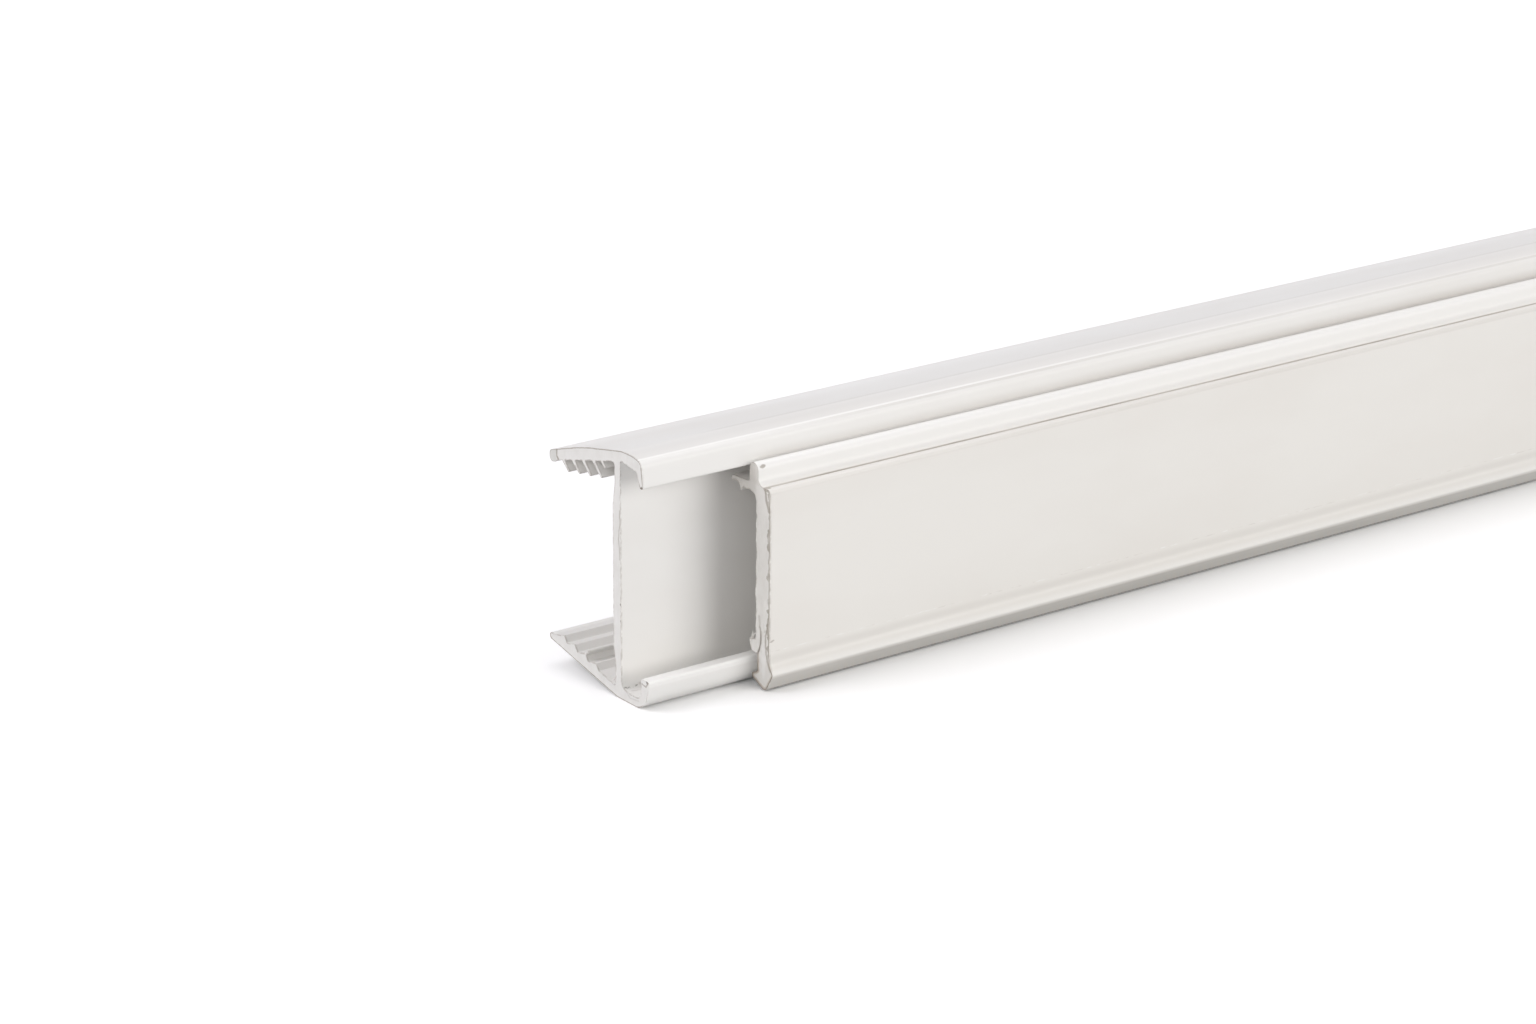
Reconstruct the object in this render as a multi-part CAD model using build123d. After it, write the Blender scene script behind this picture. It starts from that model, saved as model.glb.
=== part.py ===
from build123d import *
import math
import os

# Clip-on sliding track: an extruded rail that bites onto the edge of a board,
# and an extruded cover strip that hooks onto the rail's front and slides along it.
# Millimetres. X runs along the track, -Y is the front, +Z is up.
# The origin is on the rail's flat underside, in the plane of the web's front face,
# half-way along the rail.

# Lengths
rail_length = 200.0
cover_length = 200.0
cover_shift = 12.3          # the cover is drawn this far along the rail

# Board clip: the web and two toed-in jaws
board_thickness = 18.0
bite = 0.4                  # each mouth tooth stands this far inside the board's face
web_thickness = 1.25
neck_thickness = 0.9        # the web thins beside each jaw, so that the jaw can spring
neck_height = 2.2
neck_blend = 2.0            # height over which the web thins
neck_radius = 2.0
jaw_corner_radius = 0.35

lower_toe_in = 12.2         # degrees
lower_plate = 0.95
lower_reach = 12.2          # from the web's front face to the end of the jaw
lower_nose = 0.68           # thickness at the end of the jaw
lower_end_radius = 0.28
heel = 0.6                  # the flat underside ends this far behind the web's front face
heel_radius = 0.8

upper_toe_in = 14.5         # degrees
upper_plate = 1.0
upper_reach = 11.9
upper_bead = 1.22           # thickness of the bead along the end of the jaw
upper_bead_length = 1.3
upper_bead_ramp = 0.3       # the jaw thickens to the bead over this length
upper_end_radius = 0.5
upper_crown = 0.3           # the upper jaw's outer face bulges by this much
upper_crown_radius = 30.0

# Saw teeth on the lower jaw
tooth_count = 4
tooth_pitch = 1.8
tooth_first = 9.7           # mouth tooth, from the web's front face
tooth_height = 0.55
tooth_lean = 0.45           # the steep side of a tooth runs back by this much
tooth_root = 0.2            # each tooth is rooted this deep in the jaw
tooth_tip_radius = 0.06
fin_tooth = 2               # this tooth carries a fine fin on its crest
fin_length = 1.4
fin_rise = 0.16             # the fin's tip stands this much higher than its slope alone gives
fin_set_back = 0.35         # the fin springs from this far behind the crest
fin_thickness = 0.2
fin_angle = 35.0            # degrees above level, leaning towards the web
fin_tip_radius = 0.05

# Claws on the upper jaw
claw_count = 4
claw_pitch = 1.85
claw_first = 8.6            # tip of the mouth claw, from the web's front face
claw_depth = 1.18           # the mouth claw's tip, below the jaw's inner face
claw_depth_step = 0.16      # each claw nearer the web is this much deeper
claw_angle = 45.0           # degrees from upright, leaning towards the web
claw_root = 0.46
claw_tip = 0.24
claw_tip_radius = 0.08
stub_tip = 2.45             # tip of the short claw beside the web
stub_depth = 0.7

# Front channel: top flange with a hanging lip, bottom flange with a J-lip
channel_depth = 3.3         # from the web's front face to the J-lip
floor_thickness = 1.0
web_foot_radius = 0.9       # inside corner between the web and the channel's floor
j_lip_foot_radius = 0.8     # inside corner between the floor and the J-lip
j_lip_thickness = 0.65
j_lip_height = 3.2
j_lip_heel_radius = 1.7     # outside corner under the J-lip
j_bead_out = 0.65           # the J-lip's top edge turns out by this much
j_bead_height = 0.6
j_lip_edge_radius = 0.22    # top edges of the J-lip
j_bead_under_radius = 0.35  # inside corner under the outturned bead
flange_thickness = 1.15     # over the lip's root
flange_root = 0.95          # the flange is thinner where it springs from the web
flange_corner_radius = 0.3
crest = 0.2                 # the top starts to fall this far in front of the web's face
crest_radius = 2.0
crown_fall = 0.25           # from the crest to the lip's shoulder
crown_bulge = 0.14          # the top bulges by this much between the two
crown_bulge_radius = 6.0
lip_reach = 3.75            # from the web's front face to the lip's outer face, at its tip
lip_drop = 2.9              # from the crest to the lip's tip
lip_lean = 0.3              # the lip's tip stands out in front of its shoulder
lip_thickness = 0.75        # at the lip's root
lip_tip_thickness = 0.52
lip_shoulder_radius = 0.9
lip_inside_radius = 0.45
edge_radius = 0.2           # free edges of the rail's lips

# Clearances between the cover and the rail
lip_clearance = 0.15        # cover's bead in front of the lip's outer face
arm_clearance = 1.55        # cover's arm below the lip's tip
web_clearance = 0.9         # cover's arm in front of the web
hook_clearance = 0.45       # cover's hook above the J-lip
panel_clearance = 0.4       # cover's panel in front of the J-lip's bead
toe_clearance = 0.5         # cover's toe in front of the J-lip's heel
foot_clearance = 0.15       # cover's foot above the surface that the rail stands on

# Cover: bead, arm and panel
bead_overlap = 0.55         # bead's top above the lip's tip
bead_thickness = 1.4
bead_round = 0.49           # share of the bead's thickness that each top corner rounds off
arm_thickness = 0.65
arm_root_radius = 0.85
arm_root_drop = 0.25        # the arm's root is this much deeper than its tip
arm_edge_radius = 0.2
notch_radius = 0.3          # floor of the notch that the rail's lip hangs over
barb_place = 2.55           # the arm's barb, from the web's front face
barb_depth = 0.65
barb_front_run = 0.4
barb_back_run = 0.45
barb_tip_radius = 0.06
panel_thickness = 2.2
panel_drop = 2.15           # from the bead's top to the panel's shoulder
shoulder_radius = 0.4
cove_radius = 0.75
groove_width = 0.3          # fine groove between the cove and the shoulder
groove_depth = 0.16

# Cover: snap finger and foot
finger_thickness = 0.62
finger_length = 2.9
slit_width = 0.2
hook_overlap = 0.7          # the hook's tip reaches this far over the J-lip's bead
hook_height = 1.2
hook_back_rise = 0.3        # the hook's top rises this much to the finger
hook_lead = 0.42            # the hook's lower corner is sloped off by this much
hook_lead_height = 0.85
hook_edge_radius = 0.12
neck_set_back = 0.3         # the neck below the finger stands back from the panel's rear
toe_height = 1.4
toe_thickness = 0.4
toe_edge_radius = 0.13
foot_flat = 0.5             # width of the foot's lowest stretch
foot_point = 6.4            # middle of that stretch, from the web's front face
foot_radius = 0.35
nose_out = 0.6              # the foot's front nose stands this far proud of the panel
nose_height = 2.0
nose_flare = 1.0            # height over which the panel flares out to the nose
nose_flare_radius = 1.2

# Slopes of the two jaws
lower_slope = math.tan(math.radians(lower_toe_in))
lower_upright = 1 / math.cos(math.radians(lower_toe_in))
upper_slope = math.tan(math.radians(upper_toe_in))
upper_upright = 1 / math.cos(math.radians(upper_toe_in))


def lower_jaw_z(y, depth):
    """Height at y of a line that lies depth inside the lower jaw's underside."""
    return (y - heel) * lower_slope + depth * lower_upright


# The mouth: the upper jaw stands where its first claw leaves room for the board
mouth_gap = board_thickness - 2 * bite
mouth_tooth_z = lower_jaw_z(tooth_first, lower_plate + tooth_height)
mouth_claw_z = mouth_tooth_z + mouth_gap
jaw_inner_z = mouth_claw_z + claw_depth + claw_first * upper_slope


def upper_jaw_z(y, depth):
    """Height at y of a line that lies depth below the upper jaw's inner face."""
    return jaw_inner_z - y * upper_slope - depth * upper_upright


# Places on the rail's front
rail_height = upper_jaw_z(-crest, -upper_plate)
lip_tip_z = rail_height - lip_drop
shoulder_z = rail_height - crown_fall
j_lip_face = channel_depth + j_lip_thickness
j_bead_face = j_lip_face + j_bead_out

# Places on the cover, each at its clearance from the rail
bead_rear = lip_reach + lip_clearance
bead_front = bead_rear + bead_thickness
bead_top = lip_tip_z + bead_overlap
arm_top = lip_tip_z - arm_clearance
arm_under = arm_top - arm_thickness
panel_rear = j_bead_face + panel_clearance
panel_front = panel_rear + panel_thickness
panel_top = bead_top - panel_drop
hook_under = j_lip_height + hook_clearance
hook_tip = j_bead_face - hook_overlap
neck_rear = panel_rear + neck_set_back
toe_tip = j_lip_face + toe_clearance
nose_front = panel_front + nose_out


def section(corners):
    """Face through rows of (y, z, corner radius), drawn across the track."""
    points = [(y, z) for y, z, radius in corners]
    radii = [radius for y, z, radius in corners]
    with BuildSketch(Plane.YZ) as sketch:
        with BuildLine():
            FilletPolyline(*points, radius=radii, close=True)
        make_face()
    return sketch.sketch


def rail_body():
    """Web, both jaws without teeth, and the front channel."""
    neck_low = lower_jaw_z(web_thickness, lower_plate) + neck_height
    neck_high = upper_jaw_z(web_thickness, 0) - neck_height
    ledge = tooth_first + tooth_pitch
    bead_start = upper_reach - upper_bead_length
    bead_full = bead_start + upper_bead_ramp
    bead_depth = upper_bead - upper_plate
    crown = upper_reach / 2
    lip_inside = lip_reach - lip_thickness
    bulge_y = (lip_lean - lip_reach - crest) / 2
    bulge_z = rail_height - crown_fall / 2 + crown_bulge
    return section([
        # underside, from the J-lip's heel back along the lower jaw
        (-j_lip_face, 0, j_lip_heel_radius),
        (heel, 0, heel_radius),
        (lower_reach, lower_jaw_z(lower_reach, 0), lower_end_radius),
        (lower_reach, lower_jaw_z(lower_reach, lower_nose), lower_end_radius),
        (ledge, lower_jaw_z(ledge, lower_nose), 0),
        (tooth_first, lower_jaw_z(tooth_first, lower_plate), 0),
        # inside of the clip: lower jaw, web with its two thinned necks, upper jaw
        (neck_thickness, lower_jaw_z(neck_thickness, lower_plate), jaw_corner_radius),
        (neck_thickness, neck_low, neck_radius),
        (web_thickness, neck_low + neck_blend, neck_radius),
        (web_thickness, neck_high - neck_blend, neck_radius),
        (neck_thickness, neck_high, neck_radius),
        (neck_thickness, upper_jaw_z(neck_thickness, 0), jaw_corner_radius),
        (bead_start, upper_jaw_z(bead_start, 0), edge_radius),
        (bead_full, upper_jaw_z(bead_full, bead_depth), edge_radius),
        (upper_reach, upper_jaw_z(upper_reach, bead_depth), upper_end_radius),
        (upper_reach, upper_jaw_z(upper_reach, -upper_plate), upper_end_radius),
        (crown, upper_jaw_z(crown, -upper_plate - upper_crown), upper_crown_radius),
        # top, lip and the inside of the channel
        (-crest, rail_height, crest_radius),
        (bulge_y, bulge_z, crown_bulge_radius),
        (lip_lean - lip_reach, shoulder_z, lip_shoulder_radius),
        (-lip_reach, lip_tip_z, edge_radius),
        (lip_tip_thickness - lip_reach, lip_tip_z, edge_radius),
        (lip_lean - lip_inside, shoulder_z - flange_thickness, lip_inside_radius),
        (0, rail_height - flange_root, flange_corner_radius),
        (0, floor_thickness, web_foot_radius),
        (-channel_depth, floor_thickness, j_lip_foot_radius),
        # J-lip with its outturned top edge
        (-channel_depth, j_lip_height, j_lip_edge_radius),
        (-j_bead_face, j_lip_height, j_lip_edge_radius),
        (-j_bead_face, j_lip_height - j_bead_height / 2, edge_radius / 2),
        (-j_lip_face, j_lip_height - j_bead_height, j_bead_under_radius),
    ])


def saw_tooth(tip, run, run_depth):
    """Ramp that rises towards the web and ends in a steep side."""
    foot = tip + run
    back = tip - tooth_lean
    sunk = lower_plate - tooth_root
    return section([
        (foot, lower_jaw_z(foot, run_depth), 0),
        (tip, lower_jaw_z(tip, lower_plate + tooth_height), tooth_tip_radius),
        (back, lower_jaw_z(back, lower_plate), 0),
        (back, lower_jaw_z(back, sunk), 0),
        (foot, lower_jaw_z(foot, run_depth - tooth_root), 0),
    ])


def crest_fin(tip):
    """Fine fin on a saw tooth's crest, leaning over the tooth's steep side."""
    along_y = math.cos(math.radians(fin_angle))
    along_z = math.sin(math.radians(fin_angle))
    root_y = tip + fin_set_back
    root_z = lower_jaw_z(root_y, lower_plate)
    end_y = root_y - fin_length * along_y
    end_z = root_z + fin_length * along_z + fin_rise
    across_y = fin_thickness * along_z
    across_z = fin_thickness * along_y
    return section([
        (root_y, root_z, 0),
        (root_y + across_y, root_z + across_z, 0),
        (end_y + across_y, end_z + across_z, fin_tip_radius),
        (end_y, end_z, fin_tip_radius),
    ])


def claw(tip, depth):
    """Tapered fin that leans from the upper jaw towards the web."""
    along_y = math.sin(math.radians(claw_angle))
    along_z = math.cos(math.radians(claw_angle))
    tip_z = upper_jaw_z(tip, depth)
    length = (depth + upper_plate / 2) / (along_z + along_y * upper_slope)
    root_y = tip + length * along_y
    root_z = tip_z + length * along_z
    half_tip = claw_tip / 2
    half_root = claw_root / 2
    return section([
        (tip - half_tip * along_z, tip_z + half_tip * along_y, claw_tip_radius),
        (tip + half_tip * along_z, tip_z - half_tip * along_y, claw_tip_radius),
        (root_y + half_root * along_z, root_z - half_root * along_y, 0),
        (root_y - half_root * along_z, root_z + half_root * along_y, 0),
    ])


def rail_section():
    """The whole rail in section, with the teeth of both jaws."""
    face = rail_body()
    for i in range(tooth_count):
        tip = tooth_first - i * tooth_pitch
        if i == 0:
            face += saw_tooth(tip, tooth_pitch, lower_nose)
        else:
            face += saw_tooth(tip, tooth_pitch - tooth_lean, lower_plate)
        if i == fin_tooth:
            face += crest_fin(tip)
    for i in range(claw_count):
        face += claw(claw_first - i * claw_pitch, claw_depth + i * claw_depth_step)
    face += claw(stub_tip, stub_depth)
    return face


def cover_body():
    """Bead, arm, panel, hook and foot of the cover, without groove and slit."""
    bead_radius = bead_round * bead_thickness
    root_under = arm_under - arm_root_drop
    foot_front = foot_point + foot_flat / 2
    foot_rear = foot_point - foot_flat / 2
    return section([
        # bead, cove and the panel's shoulder
        (-bead_front, bead_top, bead_radius),
        (-bead_front, panel_top, cove_radius),
        (-panel_front, panel_top, shoulder_radius),
        # front face and foot
        (-panel_front, nose_height + nose_flare, nose_flare_radius),
        (-nose_front, nose_height, foot_radius),
        (-foot_front, foot_clearance, foot_radius),
        (-foot_rear, foot_clearance, foot_radius),
        (-toe_tip, toe_height - toe_thickness, toe_edge_radius),
        (-toe_tip, toe_height, toe_edge_radius),
        (-neck_rear, toe_height + toe_thickness, neck_set_back),
        # neck and snap finger with its hook
        (-neck_rear, hook_under, 0),
        (-hook_tip - hook_lead, hook_under, hook_edge_radius),
        (-hook_tip, hook_under + hook_lead_height, hook_edge_radius),
        (-hook_tip, hook_under + hook_height, hook_edge_radius),
        (-panel_rear, hook_under + hook_height + hook_back_rise, edge_radius),
        # rear face, arm with its barb, and the notch behind the bead
        (-panel_rear, root_under, arm_root_radius),
        (-barb_place - barb_front_run, root_under, hook_edge_radius),
        (-barb_place, arm_under - barb_depth, barb_tip_radius),
        (-barb_place + barb_back_run, arm_under, arm_edge_radius),
        (-web_clearance, arm_under, arm_edge_radius),
        (-web_clearance, arm_top, notch_radius),
        (-bead_rear, arm_top, notch_radius),
        (-bead_rear, bead_top, bead_radius),
    ])


def shadow_line():
    """Fine groove along the foot of the cove, in front of the bead."""
    middle = -bead_front - cove_radius - groove_width / 2
    above = panel_top + groove_depth / 2
    return section([
        (middle - groove_width / 2, above, 0),
        (middle, panel_top - groove_depth, 0),
        (middle + groove_width / 2, above, 0),
    ])


def finger_slit():
    """Curved slit that frees the snap finger from the neck."""
    start = (-neck_rear, hook_under - slit_width / 2)
    middle = (-panel_rear - finger_thickness - slit_width, hook_under + finger_length * 0.6)
    end = (-panel_rear - finger_thickness, hook_under + finger_length)
    with BuildSketch(Plane.YZ) as sketch:
        with BuildLine() as path:
            ThreePointArc(start, middle, end)
        trace(path.line, slit_width)
    return sketch.sketch


def cover_section():
    """The whole cover in section."""
    return cover_body() - shadow_line() - finger_slit()


def extrusion(face, length, shift=0.0):
    """Solid of the section, centred on X and moved along it by shift."""
    solid = extrude(face, length / 2, both=True)
    return Pos(shift, 0, 0) * solid


clip_rail = extrusion(rail_section(), rail_length)
slide_cover = extrusion(cover_section(), cover_length, cover_shift)

os.makedirs("parts", exist_ok=True)
export_step(clip_rail, "parts/clip_rail.step")
export_step(slide_cover, "parts/slide_cover.step")
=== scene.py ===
import math

import bmesh
import bpy
import numpy as np
from mathutils import Matrix, Vector, geometry, kdtree, noise


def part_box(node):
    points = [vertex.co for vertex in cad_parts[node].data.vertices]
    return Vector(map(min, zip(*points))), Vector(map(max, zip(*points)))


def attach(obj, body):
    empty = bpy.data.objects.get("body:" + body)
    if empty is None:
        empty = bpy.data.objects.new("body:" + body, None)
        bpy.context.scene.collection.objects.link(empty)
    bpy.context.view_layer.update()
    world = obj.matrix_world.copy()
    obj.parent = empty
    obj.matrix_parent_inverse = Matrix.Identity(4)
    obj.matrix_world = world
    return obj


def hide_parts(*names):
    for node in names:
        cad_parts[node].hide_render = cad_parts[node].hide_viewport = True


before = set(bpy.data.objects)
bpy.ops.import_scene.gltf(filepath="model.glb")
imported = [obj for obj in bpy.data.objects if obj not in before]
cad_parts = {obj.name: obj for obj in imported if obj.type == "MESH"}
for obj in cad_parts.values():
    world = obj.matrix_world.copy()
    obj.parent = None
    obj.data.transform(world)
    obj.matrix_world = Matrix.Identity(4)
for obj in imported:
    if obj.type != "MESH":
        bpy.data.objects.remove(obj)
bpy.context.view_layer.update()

# The clip rail: one stiff white PVC extrusion. A web carries two toed-in jaws that bite
# the edge of a board, and a shallow channel in front that takes the cover. Its section is
# drawn in millimetres, y to the rear and z upwards, and its ends are sawn off square.
WEB = 1.25
WEB_ROUND = 2.0
NECK = 0.9
NECK_TALL = 2.2
NECK_BLEND = 2.0
HEEL = 0.6
HEEL_ROUND = 0.8
FRONT_HEEL_ROUND = 2.1
LOWER_TOE_IN = math.radians(12.2)
LOWER_PLATE = 0.95
LOWER_REACH = 12.2
LOWER_NOSE = 0.68
LOWER_NOSE_ROUND = 0.28
LEDGE_ROUND = 0.2
JAW_ROOT_ROUND = 0.35
TEETH = 4
TOOTH_PITCH = 1.8
TOOTH_FIRST = 9.7
TOOTH_TALL = 0.55
TOOTH_LEAN = 0.45
TOOTH_TIP_ROUND = 0.09
TOOTH_FOOT_ROUND = 0.12
FIN_TOOTH = 2
FIN_AHEAD = 0.35
FIN_RUN = (-1.147, 0.963)
FIN_WALL = (0.115, 0.164)
FIN_FOOT_ROUND = (0.15, 0.1)
UPPER_TOE_IN = math.radians(14.5)
UPPER_PLATE = 1.0
UPPER_REACH = 11.9
UPPER_BOW = 0.3
UPPER_BOW_ROUND = 30.0
UPPER_BEAD = 1.22
UPPER_BEAD_STEP = (10.6, 10.9)
UPPER_BEAD_ROUND = 0.2
UPPER_END_ROUND = 0.5
CLAWS = 4
CLAW_PITCH = 1.85
CLAW_FIRST = 8.6
CLAW_DEPTH = 1.18
CLAW_STEP = 0.16
CLAW_LEAN = math.radians(45)
CLAW_HALF_TIP = 0.12
CLAW_HALF_ROOT = 0.23
CLAW_ROUND = 0.1
STUB_CLAW = (2.45, 0.7)
MOUTH = 17.2
CHANNEL_DEEP = 3.3
CHANNEL_FLOOR = 1.0
CHANNEL_ROUND = (0.9, 0.8)
J_LIP_WALL = 0.65
J_LIP_TALL = 3.2
J_BEAD = 0.65
J_BEAD_TALL = 0.6
J_EDGE_ROUND = 0.22
J_UNDER_ROUND = 0.5
FLANGE = 1.15
FLANGE_ROOT = 0.95
FLANGE_ROOT_ROUND = 0.3
CROWN_START = -0.2
CROWN_MIDDLE = 0.05
CROWN_FALL = 0.25
CROWN_BULGE = 0.14
CROWN_ROUND = (2.0, 6.0, 0.9)
LIP_OUT = 3.75
LIP_DROP = 2.9
LIP_WALL = 0.75
LIP_TIP = 0.52
LIP_SLOPE = 0.3
LIP_TIP_ROUND = 0.2
LIP_ROOT_ROUND = 0.45


def lower_jaw(y, depth):
    """Point at y that lies depth inside the lower jaw's underside."""
    return (y, (y - HEEL) * math.tan(LOWER_TOE_IN) + depth / math.cos(LOWER_TOE_IN))


jaw_inner = lower_jaw(TOOTH_FIRST, LOWER_PLATE + TOOTH_TALL)[1] + MOUTH
jaw_inner += CLAW_DEPTH + CLAW_FIRST * math.tan(UPPER_TOE_IN)


def upper_jaw(y, depth):
    """Point at y that lies depth below the upper jaw's inner face."""
    return (y, jaw_inner - y * math.tan(UPPER_TOE_IN) - depth / math.cos(UPPER_TOE_IN))


def crossing(a, b, c, d):
    """Where the line through a and b meets the line through c and d."""
    run = (b[0] - a[0], b[1] - a[1])
    other = (d[0] - c[0], d[1] - c[1])
    turn = run[0] * other[1] - run[1] * other[0]
    t = ((c[0] - a[0]) * other[1] - (c[1] - a[1]) * other[0]) / turn
    return (a[0] + t * run[0], a[1] + t * run[1])


def fin_rows(foot, tip, back):
    """The thin fin that leans over one tooth, from its mouth side to its web side."""
    root = lower_jaw(tip[0] + FIN_AHEAD, LOWER_PLATE)
    end = (root[0] + FIN_RUN[0], root[1] + FIN_RUN[1])
    root_over = (root[0] + FIN_WALL[0], root[1] + FIN_WALL[1])
    end_over = (end[0] + FIN_WALL[0], end[1] + FIN_WALL[1])
    return [
        (*crossing(foot, tip, root_over, end_over), FIN_FOOT_ROUND[0]),
        (*end_over, TOOTH_TIP_ROUND),
        (*end, TOOTH_TIP_ROUND),
        (*crossing(tip, back, root, end), FIN_FOOT_ROUND[1]),
    ]


def tooth_rows():
    """The lower jaw's inner face from its mouth to the web: ramps and steep sides."""
    rows = []
    for i in range(TEETH):
        tip_y = TOOTH_FIRST - i * TOOTH_PITCH
        tip = lower_jaw(tip_y, LOWER_PLATE + TOOTH_TALL)
        back = lower_jaw(tip_y - TOOTH_LEAN, LOWER_PLATE)
        if i == FIN_TOOTH:
            foot = lower_jaw(tip_y + TOOTH_PITCH - TOOTH_LEAN, LOWER_PLATE)
            rows += fin_rows(foot, tip, back)
        else:
            rows.append((*tip, TOOTH_TIP_ROUND))
        rows.append((*back, TOOTH_FOOT_ROUND))
    return rows


def claw_rows(tip_y, depth):
    """One claw of the upper jaw, from its web side round the tip to its mouth side."""
    across, down = math.cos(CLAW_LEAN), math.sin(CLAW_LEAN)
    tip = upper_jaw(tip_y, depth)
    length = (depth + UPPER_PLATE / 2) / (across + down * math.tan(UPPER_TOE_IN))
    root = (tip[0] + length * down, tip[1] + length * across)
    inner = (upper_jaw(0, 0), upper_jaw(10, 0))
    rows = []
    for side in (-1, 1):
        half_tip = side * CLAW_HALF_TIP
        half_root = side * CLAW_HALF_ROOT
        at_tip = (tip[0] + half_tip * across, tip[1] - half_tip * down)
        at_root = (root[0] + half_root * across, root[1] - half_root * down)
        pair = [(*crossing(at_tip, at_root, *inner), CLAW_ROUND), (*at_tip, CLAW_ROUND)]
        rows += pair if side < 0 else pair[::-1]
    return rows


neck_low = lower_jaw(WEB, LOWER_PLATE)[1] + NECK_TALL
neck_high = upper_jaw(WEB, 0)[1] - NECK_TALL
rail_top = upper_jaw(CROWN_START, -UPPER_PLATE)[1]
lip_tip = rail_top - LIP_DROP
shoulder = rail_top - CROWN_FALL
j_lip_face = CHANNEL_DEEP + J_LIP_WALL
ledge = TOOTH_FIRST + TOOTH_PITCH

# A row is one corner: y, z, the radius it is rounded to and, where it isn't 1, how
# ragged the saw left that stretch of the rim.
rail_corners = [
    (-j_lip_face, 0, FRONT_HEEL_ROUND, 0),
    (HEEL, 0, HEEL_ROUND, 0),
    (*lower_jaw(LOWER_REACH, 0), LOWER_NOSE_ROUND, 0),
    (*lower_jaw(LOWER_REACH, LOWER_NOSE), LOWER_NOSE_ROUND, 0),
    (*lower_jaw(ledge, LOWER_NOSE), LEDGE_ROUND),
    *tooth_rows(),
    (*lower_jaw(NECK, LOWER_PLATE), JAW_ROOT_ROUND),
    (NECK, neck_low, WEB_ROUND),
    (WEB, neck_low + NECK_BLEND, WEB_ROUND),
    (WEB, neck_high - NECK_BLEND, WEB_ROUND),
    (NECK, neck_high, WEB_ROUND),
    (*upper_jaw(NECK, 0), JAW_ROOT_ROUND),
    *claw_rows(*STUB_CLAW),
]
for i in reversed(range(CLAWS)):
    rail_corners += claw_rows(CLAW_FIRST - i * CLAW_PITCH, CLAW_DEPTH + i * CLAW_STEP)
rail_corners += [
    (*upper_jaw(UPPER_BEAD_STEP[0], 0), UPPER_BEAD_ROUND),
    (*upper_jaw(UPPER_BEAD_STEP[1], UPPER_BEAD - UPPER_PLATE), UPPER_BEAD_ROUND),
    (*upper_jaw(UPPER_REACH, UPPER_BEAD - UPPER_PLATE), UPPER_END_ROUND),
    (*upper_jaw(UPPER_REACH, -UPPER_PLATE), UPPER_END_ROUND),
    (*upper_jaw(UPPER_REACH / 2, -UPPER_PLATE - UPPER_BOW), UPPER_BOW_ROUND),
    (CROWN_START, rail_top, CROWN_ROUND[0], 0),
    (CROWN_MIDDLE - LIP_OUT / 2, rail_top - CROWN_FALL / 2 + CROWN_BULGE, CROWN_ROUND[1], 0),
    (LIP_SLOPE - LIP_OUT, shoulder, CROWN_ROUND[2]),
    (-LIP_OUT, lip_tip, LIP_TIP_ROUND),
    (LIP_TIP - LIP_OUT, lip_tip, LIP_TIP_ROUND),
    (LIP_SLOPE + LIP_WALL - LIP_OUT, shoulder - FLANGE, LIP_ROOT_ROUND),
    (0, rail_top - FLANGE_ROOT, FLANGE_ROOT_ROUND),
    (0, CHANNEL_FLOOR, CHANNEL_ROUND[0]),
    (-CHANNEL_DEEP, CHANNEL_FLOOR, CHANNEL_ROUND[1]),
    (-CHANNEL_DEEP, J_LIP_TALL, J_EDGE_ROUND),
    (-j_lip_face - J_BEAD, J_LIP_TALL, J_EDGE_ROUND),
    (-j_lip_face - J_BEAD, J_LIP_TALL - J_BEAD_TALL, J_UNDER_ROUND),
]


def pick(sockets, key):
    """The socket in use that has this name, or this number."""
    if isinstance(key, int):
        return sockets[key]
    return next(s for s in sockets if s.enabled and s.name == key)


class Wire:
    """An output of a node. Arithmetic on it adds Math nodes to its tree."""

    def __init__(self, tree, socket):
        self.tree = tree
        self.socket = socket

    def out(self, name):
        return Wire(self.tree, pick(self.socket.node.outputs, name))

    def __add__(self, other):
        return self.tree.math("ADD", self, other)

    def __radd__(self, other):
        return self.tree.math("ADD", other, self)

    def __sub__(self, other):
        return self.tree.math("SUBTRACT", self, other)

    def __rsub__(self, other):
        return self.tree.math("SUBTRACT", other, self)

    def __mul__(self, other):
        return self.tree.math("MULTIPLY", self, other)

    def __rmul__(self, other):
        return self.tree.math("MULTIPLY", other, self)

    def __truediv__(self, other):
        return self.tree.math("DIVIDE", self, other)

    def __rtruediv__(self, other):
        return self.tree.math("DIVIDE", other, self)

    def above(self, low, high):
        """0 below low, 1 above high and smooth between."""
        return self.tree.add(
            "ShaderNodeMapRange",
            {"interpolation_type": "SMOOTHSTEP"},
            {"Value": self, "From Min": low, "From Max": high},
        )

    def below(self, low, high):
        """1 below low, 0 above high and smooth between."""
        return 1 - self.above(low, high)


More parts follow.
